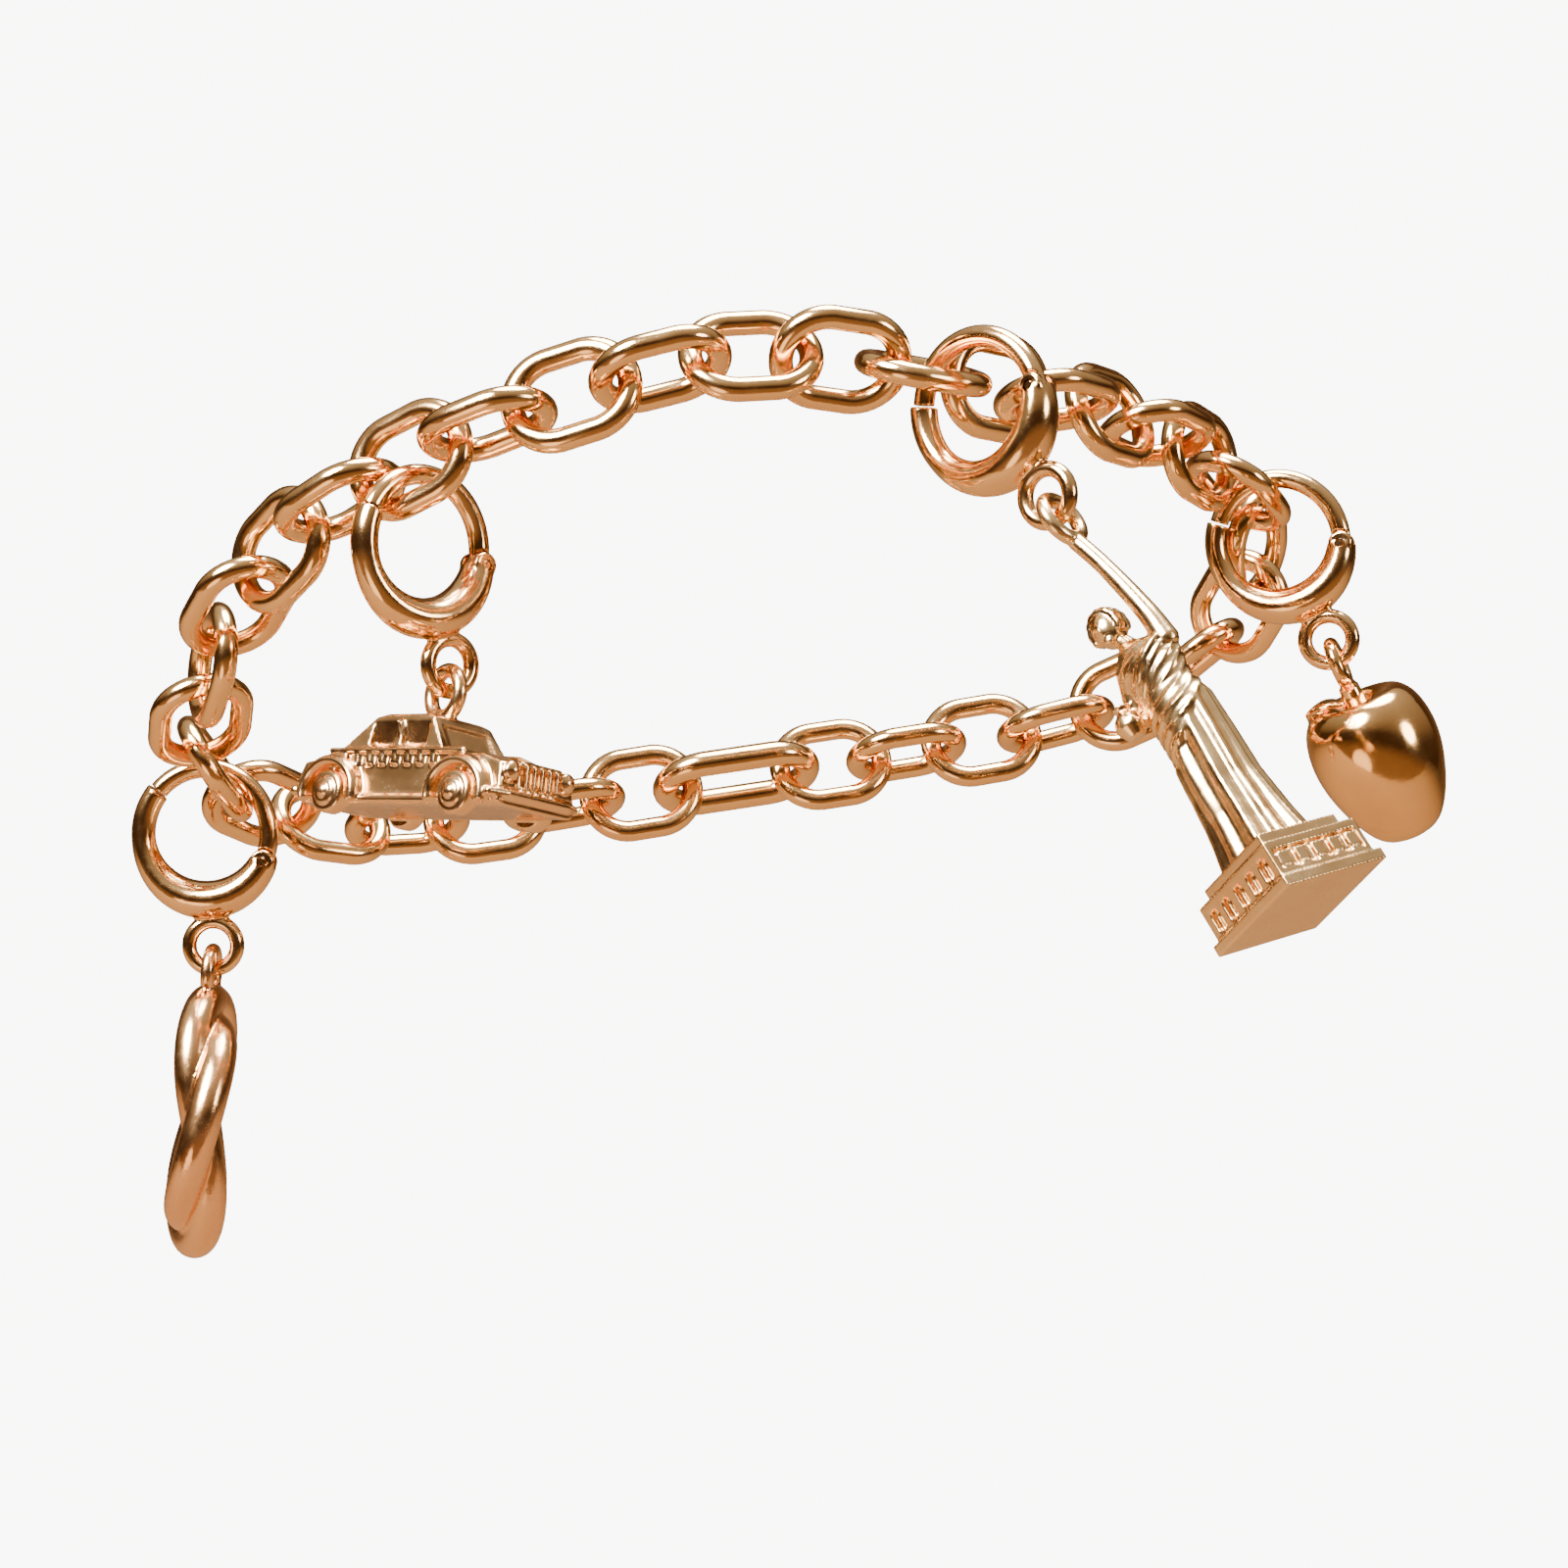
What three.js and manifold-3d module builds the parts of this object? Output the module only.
// A gold charm bracelet, worn: an oval cable chain closed into one loop, with four
// hinged rings on it that each carry a cast charm. Millimetres, +Z up, front towards -Y.
// The origin is the middle of the loop, where the wrist goes through.

import * as THREE from "three";
import { mergeVertices } from "three/addons/utils/BufferGeometryUtils.js";
import Module from "manifold-3d";

const wasm = await Module();
wasm.setup();

// Sizes of the chain
const LINK_LENGTH = 8.85;
const LINK_WIDTH = 6.9;
const LINK_WIRE = 1.5;
const LINK_COUNT = 33;
const PLAY = 0.3; // gap left between two metal pieces that hang in each other
const CLASP_LENGTH = 12.1;
const CLASP_WIDTH = 7.4;
const CLASP_WIRE = 1.8;

// Sizes of a hinged ring; its body is a crescent, its gate a plain round wire
const RING_HALF_WIDTH = 4.2; // of the centre line, along the ring's own X
const RING_HALF_HEIGHT = 4.4; // of the centre line, along the ring's own Y
const GATE_WIRE = 1.3;
const BODY_END_THICK = 1.6; // radially, where the gate meets it
const BODY_FOOT_THICK = 2.6; // radially, at the lowest point
const BODY_END_WIDE = 1.9; // along the ring's axis
const BODY_FOOT_WIDE = 3.2;
const HINGE_ANGLE = -28; // degrees round from the ring's own X
const CATCH_ANGLE = 135;
const SEAM = 0.12; // gap between gate and body at the catch
const PIN_RADIUS = 0.3;
const PIN_CLEARANCE = 0.06;
const EYE_RADIUS = 0.72; // round end of the gate, on the pin
const EYE_WIDE = 0.7;
const EAR_RADIUS = 0.82; // the body's two ears beside the eye
const HINGE_CLEARANCE = 0.1;
const BODY_SWELL = 1.5; // how sharply the body thickens towards its foot

// Sizes of the loops that hold a charm on its ring
const TAB_RADIUS = 1.6; // centre line of the loop soldered under the ring
const TAB_WIRE = 1;
const TAB_SINK = 0.35; // how far the loop goes into the ring's foot
const BAIL_RADIUS = 1.45; // centre line of the loop on top of a charm
const BAIL_WIRE = 0.95;
const BAIL_SINK = 0.3;

// Each ring: the link whose hole its gate goes through, where in that hole as shares of
// the hole's half length and half width, the place round the ring that lies there, and
// how the ring is turned. The charm hangs along its drop and faces where face points.
const RING_COLUMNS = [
  "charm", "linkNumber", "along", "wide", "seat", "turn", "roll", "dropX", "dropY", "dropZ", "face",
];
const RINGS = [
  ["twist", 7, -0.002, 0.001, 78.1, -0.2, 3.6, -0.07, 0, -1, -80],
  ["car", 13, -0.19, -0.43, 90, 41.3, 15.7, -0.11, -0.13, -0.98, -40],
  ["statue", 19, 0.125, -0.16, 109, -40, 41, 0.45, -0.37, -0.81, -40],
  ["apple", 25, -0.056, -0.189, 98.7, -17.5, 27, 0.42, 0.14, -0.9, -20],
];

// Sizes of the twisted loop charm: two strands wound round each other
const TWIST_HEIGHT = 14.3; // of its centre line
const TWIST_WIDTH = 10.4;
const TWIST_TURNS = 2;
const STRAND_WIRE = 2.4;
const STRAND_OFFSET = 0.85; // of each strand from the shared centre line

// Sizes of the car charm, bumper to bumper, over the fenders and wheels to roof
const CAR_LENGTH = 18.5;
const CAR_WIDTH = 7.9;
const CAR_HEIGHT = 6.4;
const FENDER_WIDE = 1.5;
const WHEEL_RADIUS = 1.35;
const WINDOW_DEPTH = 0.25;
const CHECKER_COUNT = 8;
const GRILLE_BARS = 5;

// Sizes of the statue charm and the plinth that it stands on
const FIGURE_TOP = 6; // the crown of the head, below the bail's centre
const FIGURE_HEIGHT = 18; // crown of the head to hem
const FIGURE_WIDTH = 4.6; // across the shoulders
const ARM_THICK = 1.3;
const HEAD_RADIUS = 1.15;
const PLINTH_WIDTH = 7.7;
const PLINTH_HEIGHT = 3.7;
const PLINTH_TURN = -18; // degrees, to the way the figure faces
const NICHE_COUNT = 5;
const NICHE_DEPTH = 0.35;

// Sizes of the apple charm
const APPLE_WIDTH = 8.8;
const APPLE_HEIGHT = 10.3;
const STEM_RADIUS = 0.75;

// The chain's route, from the clasp round the back, the front and home again. The first
// link lies flat towards FACING, each next one stands on edge to it, and twist turns
// them further about the chain's own line.
const FACING = [0, -0.96, 0.28];
const ROUTE_COLUMNS = ["x", "y", "z", "twist"];
const ROUTE = [
  [-5.4, 13.5, -12.2, -180],
  [-24.0, 10.5, -14.9, -168],
  [-30.7, 7.7, -14.6, -156],
  [-35.7, 2.5, -12.2, -146],
  [-36.8, 0.3, -10.9, -146],
  [-34.8, -7.8, -4.4, -160],
  [-29.3, -14.5, 2.7, -144],
  [-20.7, -18.9, 7.7, -144],
  [-10.7, -22.3, 11.2, -147],
  [-0.1, -21.5, 13.8, -160],
  [10.3, -18.4, 13.0, -198],
  [19.0, -11.7, 12.2, -234],
  [26.3, -3.3, 11.1, -238],
  [32.9, 5.1, 8.4, -206],
  [35.4, 9.4, 4.1, -204],
  [32.0, 15.2, -2.8, -200],
  [23.8, 17.2, -7.2, -190],
  [15.8, 16.5, -8.9, -186],
];

// Roundness of the meshes: how many sides or steps each round shape has
const LINK_BEND_STEPS = 6;
const WIRE_SIDES = 6;
const LOOP_STEPS = 14;
const RING_SIDES = 8;
const RING_BODY_STEPS = 16;
const GATE_STEPS = 12;
const BORE_SIDES = 12;
const SLOT_SIDES = 16;
const PIN_SIDES = 8;
const BAR_SIDES = 8;
const STEPS_PER_BEND = 3;
const STRAND_STEPS = 34;
const STRAND_SIDES = 8;
const FENDER_SIDES = 14;
const WHEEL_SIDES = 12;
const SMALL_SIDES = 8;
const ROBE_SIDES = 16;
const JUG_SIDES = 10;
const APPLE_SIDES = 16;

const rad = THREE.MathUtils.degToRad;
const vec = (x, y, z) => new THREE.Vector3(x, y, z);

// Reads a row of a table by its column names.
const named = (columns, row) => Object.fromEntries(columns.map((name, i) => [name, row[i]]));

const gold = new THREE.MeshStandardMaterial({ color: 0xd9a25f, roughness: 0.22, metalness: 1 });
const paleGold = new THREE.MeshStandardMaterial({ color: 0xe8cf94, roughness: 0.3, metalness: 1 });
const roseGold = new THREE.MeshStandardMaterial({ color: 0xc98f6a, roughness: 0.35, metalness: 1 });

// A closed solid through sections with the same number of points. Sections that come
// back to the first make a ring; otherwise both ends are capped flat.
function loft(sections, closed = false) {
  const sides = sections[0].length;
  const positions = sections.flat().flatMap((p) => [p.x, p.y, p.z]);
  const index = [];
  const spans = closed ? sections.length : sections.length - 1;
  for (let i = 0; i < spans; i += 1) {
    const here = i * sides;
    const next = ((i + 1) % sections.length) * sides;
    for (let k = 0; k < sides; k += 1) {
      const l = (k + 1) % sides;
      index.push(here + k, here + l, next + l, here + k, next + l, next + k);
    }
  }
  if (!closed) {
    const last = (sections.length - 1) * sides;
    for (let k = 1; k < sides - 1; k += 1) {
      index.push(0, k + 1, k);
      index.push(last, last + k, last + k + 1);
    }
  }
  const made = new THREE.BufferGeometry();
  made.setAttribute("position", new THREE.Float32BufferAttribute(positions, 3));
  made.setIndex(index);
  return made;
}

// An elliptical section at a centre, across the plane of two unit directions.
function section(centre, across, up, halfAcross, halfUp, sides) {
  return Array.from({ length: sides }, (_, k) => {
    const a = ((k + 0.5) / sides) * 2 * Math.PI;
    return centre
      .clone()
      .addScaledVector(across, halfAcross * Math.cos(a))
      .addScaledVector(up, halfUp * Math.sin(a));
  });
}

// A round tube whose centre line lies in its own XY plane and comes back to its start.
function flatLoop(centres, wire, sides) {
  const up = vec(0, 0, 1);
  const sections = centres.map((p, i) => {
    const before = centres[(i + centres.length - 1) % centres.length];
    const after = centres[(i + 1) % centres.length];
    const inward = up.clone().cross(after.clone().sub(before)).normalize();
    return section(p, inward, up, wire / 2, wire / 2, sides);
  });
  return loft(sections, true);
}

// The centre line of an oval link: two straight sides and two half circles.
function ovalPath(length, width, wire) {
  const bend = (width - wire) / 2;
  const straight = (length - width) / 2;
  const ends = [1, -1].flatMap((end) =>
    Array.from({ length: LINK_BEND_STEPS + 1 }, (_, i) => {
      const a = (i / LINK_BEND_STEPS - 0.5) * Math.PI + (end > 0 ? 0 : Math.PI);
      return vec(end * straight + bend * Math.cos(a), bend * Math.sin(a), 0);
    }),
  );
  return ends;
}

// A three.js geometry as a solid for joining and cutting.
function solid(geometry) {
  const bare = geometry.clone();
  bare.deleteAttribute("normal");
  bare.deleteAttribute("uv");
  const merged = mergeVertices(bare, 1e-4);
  return new wasm.Manifold(
    new wasm.Mesh({
      numProp: 3,
      vertProperties: merged.attributes.position.array,
      triVerts: new Uint32Array(merged.index.array),
    }),
  );
}

// The three.js geometry of a solid.
function geometryOf(made) {
  const mesh = made.getMesh();
  const geometry = new THREE.BufferGeometry();
  geometry.setAttribute("position", new THREE.BufferAttribute(mesh.vertProperties, mesh.numProp));
  geometry.setIndex(new THREE.BufferAttribute(mesh.triVerts, 1));
  return geometry;
}

// A geometry moved, turned and stretched, as a solid.
function placed(geometry, { at = [0, 0, 0], turn = [0, 0, 0], stretch = [1, 1, 1] } = {}) {
  const where = new THREE.Matrix4().compose(
    vec(...at),
    new THREE.Quaternion().setFromEuler(new THREE.Euler(...turn.map(rad))),
    vec(...stretch),
  );
  return solid(geometry.clone().applyMatrix4(where));
}

const block = (wide, deep, high, place) => placed(new THREE.BoxGeometry(wide, deep, high), place);
const ball = (radius, place, sides = 12) =>
  placed(new THREE.SphereGeometry(radius, sides, Math.round(sides * 0.66)), place);
// A cylinder along its own Z
const rod = (radius, length, sides, place = {}) =>
  placed(new THREE.CylinderGeometry(radius, radius, length, sides).rotateX(Math.PI / 2), place);

const join = (...solids) => solids.reduce((all, one) => all.add(one));
const cut = (from, ...solids) => solids.reduce((left, one) => left.subtract(one), from);

// Points along the scaled route where one link hangs in the next, found by stepping a
// link's pitch at a time, with the clasp's span as the last step.
const curve = new THREE.CatmullRomCurve3(
  ROUTE.map((row) => vec(row[0], row[1], row[2])),
  true,
  "centripetal",
);
const FINE_STEPS = 4000;
const finePoints = curve.getPoints(FINE_STEPS);
const PITCH = LINK_LENGTH - 2 * LINK_WIRE - PLAY;
const CLASP_SPAN = CLASP_LENGTH - 2 * CLASP_WIRE - PLAY;

// Steps along the route at one scale; the last step is the clasp's, and its end tells
// how far past the whole loop it comes.
function stepRound(scale) {
  const spans = [...Array(LINK_COUNT).fill(PITCH), CLASP_SPAN];
  const stops = [0];
  let place = 0;
  const at = (where) => {
    const low = Math.floor(where);
    const from = finePoints[low % FINE_STEPS];
    const to = finePoints[(low + 1) % FINE_STEPS];
    return from.clone().lerp(to, where - low).multiplyScalar(scale);
  };
  for (const span of spans) {
    const start = at(place);
    let low = place;
    let high = place;
    while (at(high).distanceTo(start) < span) high += 1;
    low = high - 1;
    for (let i = 0; i < 30; i += 1) {
      const middle = (low + high) / 2;
      if (at(middle).distanceTo(start) < span) low = middle;
      else high = middle;
    }
    place = high;
    stops.push(place);
  }
  return { stops, past: place - FINE_STEPS, at };
}

// The scale at which the links and the clasp close the loop exactly.
function closedLoop() {
  let small = 0.5;
  let large = 2;
  for (let i = 0; i < 50; i += 1) {
    const middle = (small + large) / 2;
    if (stepRound(middle).past > 0) small = middle;
    else large = middle;
  }
  return { scale: (small + large) / 2, ...stepRound((small + large) / 2) };
}

const loop = closedLoop();
const hangs = loop.stops.map((stop) => loop.at(stop));

// The twist at a place along the route, between the rows of the table.
function twistAt(place) {
  const along = (place / FINE_STEPS) * ROUTE.length;
  const low = Math.floor(along);
  const from = named(ROUTE_COLUMNS, ROUTE[low % ROUTE.length]).twist;
  const to = named(ROUTE_COLUMNS, ROUTE[(low + 1) % ROUTE.length]).twist;
  return THREE.MathUtils.lerp(from, to, along - low);
}

const linkDirection = (number) => hangs[number].clone().sub(hangs[number - 1]).normalize();

// Flat-side directions carried from link to link round the chain without any twist.
function carriedNormals() {
  const first = linkDirection(1);
  const facing = vec(...FACING);
  const carried = [facing.addScaledVector(first, -facing.dot(first)).normalize()];
  for (let number = 2; number <= LINK_COUNT + 1; number += 1) {
    const turn = new THREE.Quaternion().setFromUnitVectors(
      linkDirection(number - 1),
      linkDirection(number),
    );
    carried.push(carried[number - 2].clone().applyQuaternion(turn));
  }
  return carried;
}

const flatWays = carriedNormals();

// Where the numbered link of the chain lies: its middle, its long direction, its own
// width direction and the normal of its flat side. Every second link stands on edge.
function linkFrame(number) {
  const middle = hangs[number - 1].clone().add(hangs[number]).multiplyScalar(0.5);
  const along = linkDirection(number);
  const place = (loop.stops[number - 1] + loop.stops[number]) / 2;
  const roll = rad(twistAt(place) + (number % 2 ? 0 : 90));
  const normal = flatWays[number - 1].clone().applyAxisAngle(along, roll);
  const wide = normal.clone().cross(along);
  return { middle, along, wide, normal };
}

function framed(name, { middle, along, wide, normal }) {
  const group = new THREE.Group();
  group.name = name;
  group.matrixAutoUpdate = false;
  group.matrix.makeBasis(along, wide, normal).setPosition(middle);
  return group;
}

function mesh(name, geometry, material) {
  const made = new THREE.Mesh(geometry, material);
  made.name = name;
  return made;
}

function chain() {
  const whole = new THREE.Group();
  const shape = flatLoop(ovalPath(LINK_LENGTH, LINK_WIDTH, LINK_WIRE), LINK_WIRE, WIRE_SIDES);
  for (let number = 1; number <= LINK_COUNT; number += 1) {
    const place = framed("", linkFrame(number));
    place.add(mesh(`link_${String(number).padStart(2, "0")}`, shape, gold));
    whole.add(place);
  }
  const claspPlace = framed("", linkFrame(LINK_COUNT + 1));
  const claspShape = flatLoop(ovalPath(CLASP_LENGTH, CLASP_WIDTH, CLASP_WIRE), CLASP_WIRE, WIRE_SIDES);
  claspPlace.add(mesh("clasp", claspShape, gold));
  whole.add(claspPlace);
  return whole;
}

// The centre line of a hinged ring at an angle round from its own X.
const ringPoint = (angle, out = 0) =>
  vec(
    (RING_HALF_WIDTH + out) * Math.cos(rad(angle)),
    (RING_HALF_HEIGHT + out) * Math.sin(rad(angle)),
    0,
  );

// A stretch of ring between two angles, its section given by thickness and width at each.
function ringArc(from, to, steps, sizeAt) {
  const axis = vec(0, 0, 1);
  const sections = Array.from({ length: steps + 1 }, (_, i) => {
    const angle = from + ((to - from) * i) / steps;
    const { thick, wide } = sizeAt(angle);
    const out = vec(Math.cos(rad(angle)), Math.sin(rad(angle)), 0);
    return section(ringPoint(angle), out, axis.clone().negate(), thick / 2, wide / 2, RING_SIDES);
  });
  return solid(loft(sections));
}

const hingePoint = ringPoint(HINGE_ANGLE);
const atHinge = (z = 0) => ({ at: [hingePoint.x, hingePoint.y, z] });
const tabCentreY = -(RING_HALF_HEIGHT + BODY_FOOT_THICK / 2 + TAB_RADIUS + TAB_WIRE / 2 - TAB_SINK);

function ringLoopPath(radius) {
  return Array.from({ length: LOOP_STEPS }, (_, i) => {
    const a = (i / LOOP_STEPS) * 2 * Math.PI;
    return vec(radius * Math.cos(a), radius * Math.sin(a), 0);
  });
}

// The crescent below the gate, with two ears at the hinge and the charm's loop at its foot.
function ringBody() {
  const seamAngle = (SEAM / RING_HALF_WIDTH) * (180 / Math.PI);
  const swell = (angle) => Math.max(0, Math.sin(rad(angle + 180))) ** BODY_SWELL;
  const crescent = ringArc(CATCH_ANGLE + seamAngle, 360 + HINGE_ANGLE, RING_BODY_STEPS, (angle) => ({
    thick: THREE.MathUtils.lerp(BODY_END_THICK, BODY_FOOT_THICK, swell(angle)),
    wide: THREE.MathUtils.lerp(BODY_END_WIDE, BODY_FOOT_WIDE, swell(angle)),
  }));
  const knuckle = rod(EAR_RADIUS, BODY_END_WIDE, RING_SIDES, atHinge());
  const slot = rod(EAR_RADIUS + HINGE_CLEARANCE, EYE_WIDE + 2 * HINGE_CLEARANCE, SLOT_SIDES, atHinge());
  const bore = rod(PIN_RADIUS + PIN_CLEARANCE, 2 * BODY_FOOT_WIDE, BORE_SIDES, atHinge());
  const tab = placed(flatLoop(ringLoopPath(TAB_RADIUS), TAB_WIRE, WIRE_SIDES), {
    at: [0, tabCentreY, 0],
  });
  return geometryOf(cut(join(crescent, knuckle, tab), slot, bore));
}

// The gate: a round wire over the top, cut down to a tongue and eye at the hinge.
function ringGate() {
  const start = HINGE_ANGLE + (EYE_RADIUS / 2 / RING_HALF_WIDTH) * (180 / Math.PI);
  const wire = ringArc(start, CATCH_ANGLE, GATE_STEPS, () => ({ thick: GATE_WIRE, wide: GATE_WIRE }));
  const sideCuts = [1, -1].map((side) =>
    rod(EAR_RADIUS + HINGE_CLEARANCE, GATE_WIRE, SLOT_SIDES, atHinge((side * (EYE_WIDE + GATE_WIRE)) / 2)),
  );
  const eye = rod(EYE_RADIUS, EYE_WIDE, BORE_SIDES, atHinge());
  const bore = rod(PIN_RADIUS + PIN_CLEARANCE, 2 * EYE_WIDE, BORE_SIDES, atHinge());
  return geometryOf(cut(join(cut(wire, ...sideCuts), eye), bore));
}

const ringPin = () => geometryOf(rod(PIN_RADIUS, BODY_END_WIDE, PIN_SIDES, atHinge()));

// Where a ring hangs: its axes and centre, and the middle of the loop at its foot.
function ringFrame(row) {
  const turn = rad(row.turn);
  const roll = rad(row.roll);
  const level = vec(Math.cos(turn), Math.sin(turn), 0);
  const up = vec(0, 0, 1);
  const x = level.clone().multiplyScalar(Math.cos(roll)).addScaledVector(up, Math.sin(roll));
  const y = level.clone().multiplyScalar(-Math.sin(roll)).addScaledVector(up, Math.cos(roll));
  const axis = x.clone().cross(y);
  const link = linkFrame(row.linkNumber);
  const seat = link.middle
    .clone()
    .addScaledVector(link.along, row.along * (LINK_LENGTH / 2 - LINK_WIRE))
    .addScaledVector(link.wide, row.wide * (LINK_WIDTH / 2 - LINK_WIRE));
  const gatePoint = ringPoint(row.seat);
  const centre = seat.addScaledVector(x, -gatePoint.x).addScaledVector(y, -gatePoint.y);
  const tab = centre.clone().addScaledVector(y, tabCentreY);
  return { middle: centre, along: x, wide: y, normal: axis, tab };
}

// Where a charm hangs: its origin is the middle of its bail, which goes through the
// ring's loop, with +Z up the charm. bailTurn turns the bail about Z to cross that loop.
function charmFrame(row, ring) {
  const drop = vec(row.dropX, row.dropY, row.dropZ).normalize();
  const axis = ring.normal;
  const inPlane = drop.clone().addScaledVector(axis, -drop.dot(axis)).normalize();
  const reach = BAIL_RADIUS - (TAB_WIRE + BAIL_WIRE) / 2 - PLAY;
  const middle = ring.tab.clone().addScaledVector(inPlane, TAB_RADIUS).addScaledVector(drop, reach);
  const up = drop.clone().negate();
  const face = vec(Math.cos(rad(row.face)), Math.sin(rad(row.face)), 0);
  const right = face.addScaledVector(up, -face.dot(up)).normalize();
  const back = up.clone().cross(right);
  const bailTurn = Math.atan2(axis.dot(back), axis.dot(right));
  return { middle, along: right, wide: back, normal: up, bailTurn };
}

const bailFoot = -(BAIL_RADIUS + BAIL_WIRE / 2 - BAIL_SINK);

// The loop on top of a charm, standing upright about its own centre.
function bail(turn) {
  const upright = flatLoop(ringLoopPath(BAIL_RADIUS), BAIL_WIRE, WIRE_SIDES);
  return placed(upright.rotateX(Math.PI / 2).rotateZ(turn));
}

// A direction that no bar of the model runs along.
const OFF_AXIS = vec(0.13, 1, 0.07);

// A bent round bar through points, with one radius for each.
function bentBar(points, radii) {
  const path = new THREE.CatmullRomCurve3(points.map((p) => vec(...p)));
  const steps = STEPS_PER_BEND * (points.length - 1);
  const sections = Array.from({ length: steps + 1 }, (_, i) => {
    const t = i / steps;
    const ahead = path.getTangent(t);
    const aside = OFF_AXIS.clone().cross(ahead).normalize();
    const over = ahead.clone().cross(aside);
    const place = t * (radii.length - 1);
    const low = Math.min(Math.floor(place), radii.length - 2);
    const radius = THREE.MathUtils.lerp(radii[low], radii[low + 1], place - low);
    return section(path.getPoint(t), aside, over, radius, radius, BAR_SIDES);
  });
  return solid(loft(sections));
}

// Two strands wound round one oval line, side by side at its lower half.
function twistCharm(bailTurn) {
  const top = bailFoot - STRAND_WIRE / 2;
  const strand = (side) => {
    const path = Array.from({ length: STRAND_STEPS }, (_, i) => {
      const a = (i / STRAND_STEPS) * 2 * Math.PI;
      const out = vec(Math.sin(a), 0, Math.cos(a));
      const wind = TWIST_TURNS * a + (side * Math.PI) / 2;
      const line = vec((TWIST_WIDTH / 2) * out.x, 0, (TWIST_HEIGHT / 2) * (out.z - 1) + top);
      line.addScaledVector(out, STRAND_OFFSET * Math.sin(wind));
      line.y += STRAND_OFFSET * Math.cos(wind);
      return { line, out };
    });
    const sections = path.map(({ line, out }, i) => {
      const before = path[(i + STRAND_STEPS - 1) % STRAND_STEPS].line;
      const after = path[(i + 1) % STRAND_STEPS].line;
      const ahead = after.clone().sub(before).normalize();
      const over = ahead.clone().cross(out).normalize();
      const aside = over.clone().cross(ahead);
      return section(line, aside, over, STRAND_WIRE / 2, STRAND_WIRE / 2, STRAND_SIDES);
    });
    return solid(loft(sections, true));
  };
  return geometryOf(join(strand(1), strand(-1), bail(bailTurn)));
}

// The side outlines of the car as shares of its length and height, bottom edge first.
const CAR_SILL = 0.1;
const CAR_BELT = 0.6;
const CAR_BODY = [
  [-0.46, CAR_SILL], [-0.485, 0.34], [-0.46, 0.52], [-0.3, CAR_BELT], [0.17, 0.62],
  [0.38, CAR_BELT], [0.47, 0.52], [0.485, CAR_SILL],
];
const CAR_CABIN = [[-0.31, 0.58], [-0.17, 0.97], [-0.12, 1], [0.07, 1], [0.1, 0.97], [0.19, 0.58]];

// More shares of the car: each name says what of, and what it is measured in.
const BODY_TAPER = 0.12; // how much narrower the body gets towards its top
const CABIN_TAPER = 0.35;
const CABIN_WIDE = 0.9; // in body widths
const AXLE_FROM_MIDDLE = 0.3; // in car lengths
const FENDER_REACH = 1.75; // in wheel radii
const FENDER_STRETCH = 1.15;
const ARCH_REACH = 1.3; // in wheel radii
const ARCH_DEEP = 0.25; // in fender widths
const TYRE_WIDE = 0.86; // in fender widths
const HUB_REACH = 0.4; // in wheel radii
const HUB_WIDE = 0.3; // in fender widths
const WINDOW_MIDDLES = [-0.115, 0.04]; // in car lengths
const WINDOW_LONG = 0.12; // in car lengths
const WINDOW_HIGH = 0.26; // in car heights
const WINDOW_MIDDLE_UP = 0.8;
const WINDOW_FACE = 0.93; // in cabin half widths
const CHECKER_FROM = -0.26; // in car lengths
const CHECKER_TO = 0.16;
const CHECKER_HIGH = 0.09; // in car heights
const CHECKER_FACE = 0.86; // in body half widths
const CHECKER_DEEP = 0.3;
const LAMP_RADIUS = 0.094; // in car heights
const LAMP_LONG = 0.11;
const LAMP_PLACE = [0.48, 0.72, 0.44]; // in car length, body half width and car height
const GRILLE_PLACE = [0.486, 0.4]; // in car length and car height
const GRILLE_SPREAD = 0.8; // in body half widths
const GRILLE_BAR = [0.027, 0.033, 0.2]; // in car length, car width and car height
const BUMPER = [0.032, 0.94, 0.11]; // in car length, car width and car height
const BUMPER_UP = 0.22; // in car heights

// A side outline carried across the car's width, narrower at the top by the given share.
function carPart(outline, halfWidth, taper) {
  const right = outline.map(([x, z]) => {
    const inset = 1 - taper * Math.max(0, z - outline[0][1]);
    return vec(x * CAR_LENGTH, -halfWidth * inset, z * CAR_HEIGHT);
  });
  const left = right.map((p) => vec(p.x, -p.y, p.z));
  return solid(loft([right, left]));
}

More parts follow.
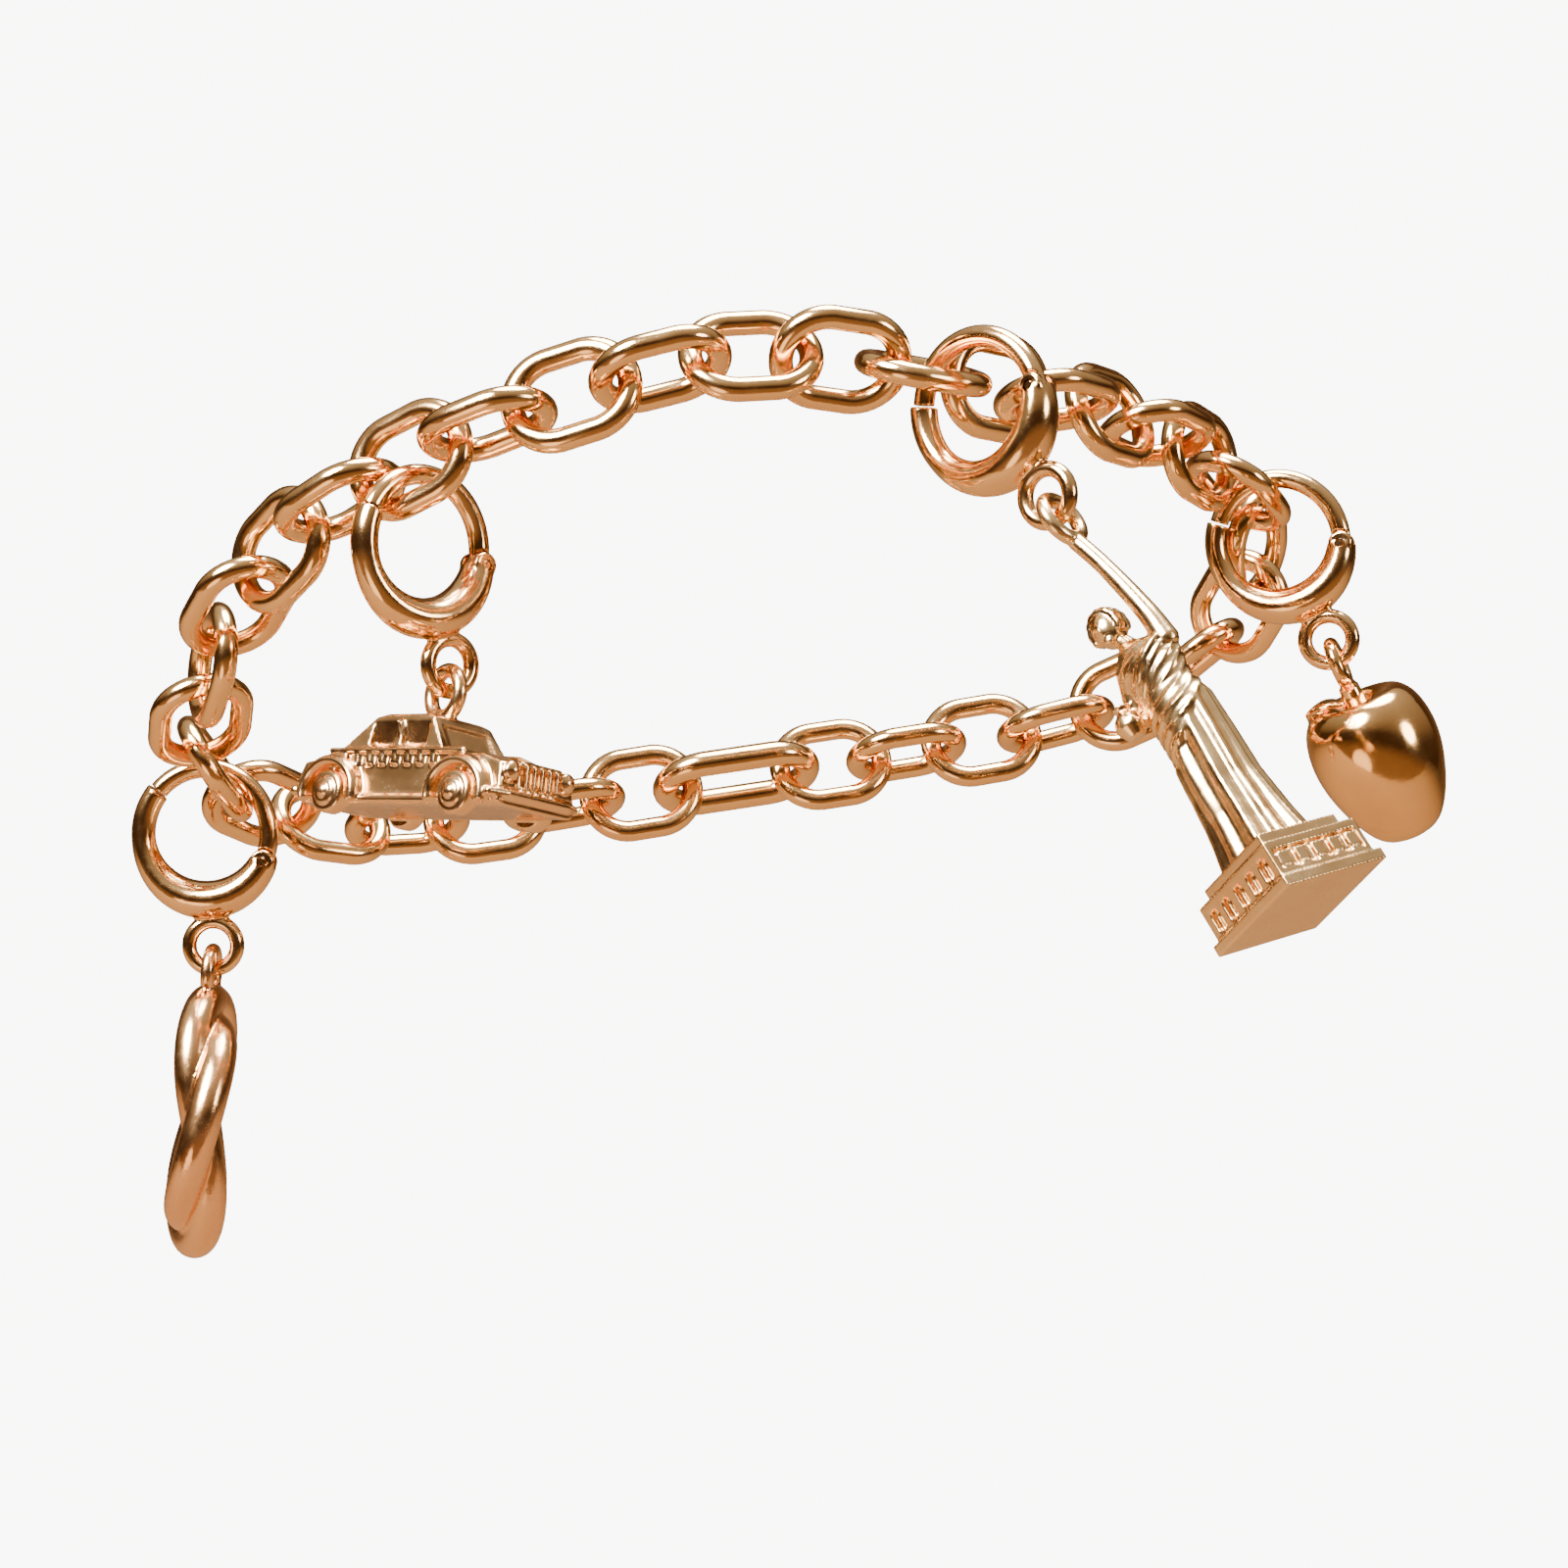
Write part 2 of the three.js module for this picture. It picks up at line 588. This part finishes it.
// One wheel with its hub, and the fender round it with the wheel's arch cut out.
function carWheel(side, end) {
  const at = [end * AXLE_FROM_MIDDLE * CAR_LENGTH, (side * (CAR_WIDTH - FENDER_WIDE)) / 2, WHEEL_RADIUS];
  const across = { at, turn: [90, 0, 0] };
  const outside = { at: [at[0], (side * CAR_WIDTH) / 2, at[2]], turn: [90, 0, 0] };
  const fender = rod(WHEEL_RADIUS * FENDER_REACH, FENDER_WIDE, FENDER_SIDES, {
    ...across,
    stretch: [FENDER_STRETCH, 1, 1],
  });
  const below = block(CAR_LENGTH / 4, CAR_WIDTH / 2, CAR_HEIGHT, {
    at: [at[0], at[1], CAR_SILL * CAR_HEIGHT - CAR_HEIGHT / 2],
  });
  const arch = rod(WHEEL_RADIUS * ARCH_REACH, 2 * ARCH_DEEP * FENDER_WIDE, WHEEL_SIDES, outside);
  const tyre = rod(WHEEL_RADIUS, TYRE_WIDE * FENDER_WIDE, WHEEL_SIDES, across);
  const hub = rod(WHEEL_RADIUS * HUB_REACH, HUB_WIDE * FENDER_WIDE, SMALL_SIDES, {
    ...outside,
    at: [at[0], side * (CAR_WIDTH / 2 - (HUB_WIDE * FENDER_WIDE) / 3), at[2]],
  });
  return join(cut(fender, below, arch), tyre, hub);
}

function carCharm(bailTurn) {
  const bodyHalf = (CAR_WIDTH - FENDER_WIDE) / 2;
  const cabinHalf = bodyHalf * CABIN_WIDE;
  const body = carPart(CAR_BODY, bodyHalf, BODY_TAPER);
  const cabin = carPart(CAR_CABIN, cabinHalf, CABIN_TAPER);
  const added = [];
  const taken = [];
  for (const side of [-1, 1]) {
    added.push(carWheel(side, -1), carWheel(side, 1));
    for (const middle of WINDOW_MIDDLES) {
      taken.push(
        block(WINDOW_LONG * CAR_LENGTH, WINDOW_DEPTH * 2, WINDOW_HIGH * CAR_HEIGHT, {
          at: [middle * CAR_LENGTH, side * cabinHalf * WINDOW_FACE, WINDOW_MIDDLE_UP * CAR_HEIGHT],
        }),
      );
    }
    const step = ((CHECKER_TO - CHECKER_FROM) * CAR_LENGTH) / CHECKER_COUNT;
    for (let i = 0; i < CHECKER_COUNT; i += 1) {
      added.push(
        block(step / 2, bodyHalf * CHECKER_DEEP, CHECKER_HIGH * CAR_HEIGHT, {
          at: [
            CHECKER_FROM * CAR_LENGTH + step * (i + 0.5),
            side * bodyHalf * CHECKER_FACE,
            (CAR_BELT - CHECKER_HIGH / 2) * CAR_HEIGHT,
          ],
        }),
      );
    }
    const [lampX, lampY, lampZ] = LAMP_PLACE;
    added.push(
      rod(LAMP_RADIUS * CAR_HEIGHT, LAMP_LONG * CAR_HEIGHT, SMALL_SIDES, {
        at: [lampX * CAR_LENGTH, side * bodyHalf * lampY, lampZ * CAR_HEIGHT],
        turn: [0, 90, 0],
      }),
    );
    const [thick, wide, high] = BUMPER;
    added.push(
      block(thick * CAR_LENGTH, wide * CAR_WIDTH, high * CAR_HEIGHT, {
        at: [(side * (1 - thick) * CAR_LENGTH) / 2, 0, BUMPER_UP * CAR_HEIGHT],
      }),
    );
  }
  for (let i = 0; i < GRILLE_BARS; i += 1) {
    const [thick, wide, high] = GRILLE_BAR;
    const y = (i / (GRILLE_BARS - 1) - 0.5) * bodyHalf * GRILLE_SPREAD;
    added.push(
      block(thick * CAR_LENGTH, wide * CAR_WIDTH, high * CAR_HEIGHT, {
        at: [GRILLE_PLACE[0] * CAR_LENGTH, y, GRILLE_PLACE[1] * CAR_HEIGHT],
      }),
    );
  }
  const whole = cut(join(body, cabin, ...added), ...taken);
  return geometryOf(join(whole.translate([0, 0, bailFoot - CAR_HEIGHT]), bail(bailTurn)));
}

// Sections of the draped figure, neck to hem, as shares of its height and shoulder
// width, each with its depth as a share of its width and how deep it is folded.
const FIGURE_COLUMNS = ["down", "wide", "deep", "aside", "fold"];
const FIGURE = [
  [0.09, 0.16, 1, -0.24, 0],
  [0.16, 0.28, 0.9, -0.14, 0],
  [0.2, 0.84, 0.6, -0.04, 0.02],
  [0.27, 0.88, 0.68, -0.02, 0.05],
  [0.36, 0.74, 0.76, 0, 0.08],
  [0.44, 0.9, 0.8, 0.02, 0.1],
  [0.58, 0.86, 0.86, 0.02, 0.12],
  [0.74, 0.88, 0.9, 0, 0.12],
  [0.9, 1.04, 0.9, 0, 0.12],
  [1, 1.2, 0.9, 0, 0.12],
];

// The head, as shares of the shoulder width and of the head's own radius
const HEAD_ASIDE = -0.26;
const HEAD_SHAPE = [0.86, 0.95, 1.12];
const BUN_RADIUS = 0.55;
const SHOULDER_DOWN = 0.23; // in figure heights, below the crown

// The raised arm, shoulder to bail: how far up, how far aside, and its half thickness
const ARM_COLUMNS = ["up", "aside", "radius"];
const RAISED_ARM = [[0, 1, 0.62], [0.26, 0.9, 0.5], [0.7, 0.45, 0.42], [1, 0, 0.42]];
const RAISED_FROM = 0.36; // the raised shoulder, in shoulder widths from the middle

// The bent arm: across and forward in shoulder widths, down in figure heights
const BENT_COLUMNS = ["across", "forward", "down", "radius"];
const BENT_ARM = [[-0.34, 0, 0, 0.6], [-0.56, -0.02, 0.133, 0.48], [-0.5, -0.33, 0.167, 0.4]];

// Half the jug's outline, as shares of its height, and where its foot is from the hand
const JUG_HEIGHT = 2.2;
const JUG_OUTLINE = [[0, 0], [0.25, 0], [0.43, 0.36], [0.36, 0.64], [0.18, 0.82], [0.28, 1], [0, 1]];
const JUG_FROM_HAND = [-0.16, 0.18, -0.41];

// The plinth's tiers from the top, as shares of its width and height
const TIER_COLUMNS = ["wide", "high"];
const TIERS = [[0.78, 0.2], [0.92, 0.62], [1, 0.18]];
const TIER_SINK = 0.05; // how far each tier goes into what stands on it
const NICHE_SPREAD = 0.92; // of the middle tier's width
const NICHE_WIDE = 0.5; // of the niches' spacing
const NICHE_HIGH = 0.52; // of the middle tier's height

function plinthSolid(hem) {
  let top = hem + TIER_SINK;
  const steps = TIERS.map((row) => {
    const { wide, high } = named(TIER_COLUMNS, row);
    const across = wide * PLINTH_WIDTH;
    const tall = high * PLINTH_HEIGHT;
    const tier = block(across, across, tall + TIER_SINK, { at: [0, 0, top - tall / 2] });
    top -= tall;
    return tier;
  });
  const above = named(TIER_COLUMNS, TIERS[0]);
  const middle = named(TIER_COLUMNS, TIERS[1]);
  const die = middle.wide * PLINTH_WIDTH;
  const nicheZ = hem - (above.high + middle.high / 2) * PLINTH_HEIGHT;
  const nicheWide = (die / NICHE_COUNT) * NICHE_WIDE;
  const nicheHigh = NICHE_HIGH * middle.high * PLINTH_HEIGHT;
  const niches = [0, 90, 180, 270].flatMap((turn) =>
    Array.from({ length: NICHE_COUNT }, (_, i) => {
      const across = ((i + 0.5) / NICHE_COUNT - 0.5) * die * NICHE_SPREAD;
      return block(nicheWide, 2 * NICHE_DEPTH, nicheHigh, { at: [across, -die / 2, 0] })
        .rotate([0, 0, turn])
        .translate([0, 0, nicheZ]);
    }),
  );
  return cut(join(...steps), ...niches).rotate([0, 0, PLINTH_TURN]);
}

function robeSolid() {
  const sections = FIGURE.map((row) => {
    const { down, wide, deep, aside, fold } = named(FIGURE_COLUMNS, row);
    const half = (wide * FIGURE_WIDTH) / 2;
    return Array.from({ length: ROBE_SIDES }, (_, k) => {
      const a = (k / ROBE_SIDES) * 2 * Math.PI;
      const pleat = 1 + fold * (k % 2 ? -1 : 1);
      return vec(
        aside * FIGURE_WIDTH + half * pleat * Math.cos(a),
        -half * deep * pleat * Math.sin(a),
        -(FIGURE_TOP + down * FIGURE_HEIGHT),
      );
    });
  });
  return solid(loft(sections));
}

function statueCharm(bailTurn) {
  const shoulder = -(FIGURE_TOP + SHOULDER_DOWN * FIGURE_HEIGHT);
  const headAt = [HEAD_ASIDE * FIGURE_WIDTH, 0, -(FIGURE_TOP + HEAD_RADIUS * HEAD_SHAPE[2])];
  const head = ball(HEAD_RADIUS, { at: headAt, stretch: HEAD_SHAPE });
  const bun = ball(HEAD_RADIUS * BUN_RADIUS, { at: [headAt[0], HEAD_RADIUS, headAt[2]] }, JUG_SIDES);
  const raisedRows = RAISED_ARM.map((row) => named(ARM_COLUMNS, row));
  const raised = bentBar(
    raisedRows.map(({ up, aside }) => [
      aside * RAISED_FROM * FIGURE_WIDTH,
      0,
      THREE.MathUtils.lerp(shoulder, bailFoot, up),
    ]),
    raisedRows.map(({ radius }) => radius * ARM_THICK),
  );
  const bentRows = BENT_ARM.map((row) => named(BENT_COLUMNS, row));
  const bentPoints = bentRows.map(({ across, forward, down }) => [
    across * FIGURE_WIDTH,
    forward * FIGURE_WIDTH,
    shoulder - down * FIGURE_HEIGHT,
  ]);
  const bent = bentBar(
    bentPoints,
    bentRows.map(({ radius }) => radius * ARM_THICK),
  );
  const hand = bentPoints[bentPoints.length - 1];
  const jugOutline = JUG_OUTLINE.map(([x, z]) => new THREE.Vector2(x * JUG_HEIGHT, z * JUG_HEIGHT));
  const jug = placed(new THREE.LatheGeometry(jugOutline, JUG_SIDES).rotateX(Math.PI / 2), {
    at: hand.map((v, i) => v + JUG_FROM_HAND[i] * JUG_HEIGHT),
  });
  const plinth = plinthSolid(-(FIGURE_TOP + FIGURE_HEIGHT));
  return geometryOf(join(robeSolid(), head, bun, raised, bent, jug, plinth, bail(bailTurn)));
}

// Half the apple's outline from the stem's dimple to the foot, as shares of its size.
const APPLE_OUTLINE = [
  [0, -0.1], [0.1, -0.08], [0.26, -0.01], [0.37, -0.03], [0.46, -0.14], [0.5, -0.32],
  [0.48, -0.52], [0.4, -0.74], [0.3, -0.9], [0.2, -0.98], [0.1, -1], [0, -0.95],
];

const STEM_LONG = 0.2; // in apple heights
const STEM_SINK = 0.11; // in apple heights, how far the stem stands in its hollow

function appleCharm(bailTurn) {
  const outline = APPLE_OUTLINE.map(
    ([x, z]) => new THREE.Vector2(x * APPLE_WIDTH, z * APPLE_HEIGHT),
  ).reverse();
  const fruit = placed(new THREE.LatheGeometry(outline, APPLE_SIDES).rotateX(Math.PI / 2));
  const stemMiddle = (STEM_LONG / 2 - STEM_SINK) * APPLE_HEIGHT;
  const stem = rod(STEM_RADIUS, STEM_LONG * APPLE_HEIGHT, SMALL_SIDES, { at: [0, 0, stemMiddle] });
  const drop = bailFoot - (STEM_LONG - STEM_SINK) * APPLE_HEIGHT;
  return geometryOf(join(join(fruit, stem).translate([0, 0, drop]), bail(bailTurn)));
}

const CHARMS = {
  twist: { name: "twist_charm", make: twistCharm, material: roseGold },
  car: { name: "car_charm", make: carCharm, material: gold },
  statue: { name: "statue_charm", make: statueCharm, material: paleGold },
  apple: { name: "apple_charm", make: appleCharm, material: gold },
};

function ringsAndCharms() {
  const whole = new THREE.Group();
  const body = ringBody();
  const gate = ringGate();
  const pin = ringPin();
  for (const cells of RINGS) {
    const row = named(RING_COLUMNS, cells);
    const ring = ringFrame(row);
    const hung = framed("", ring);
    hung.add(mesh(`${row.charm}_ring`, body, gold));
    hung.add(mesh(`${row.charm}_ring_gate`, gate, gold));
    hung.add(mesh(`${row.charm}_ring_pin`, pin, gold));
    const place = charmFrame(row, ring);
    const drop = framed("", place);
    const charm = CHARMS[row.charm];
    drop.add(mesh(charm.name, charm.make(place.bailTurn), charm.material));
    whole.add(hung, drop);
  }
  return whole;
}

const bracelet = new THREE.Group();
bracelet.name = "charm_bracelet";
bracelet.add(chain());
bracelet.add(ringsAndCharms());
export default bracelet;
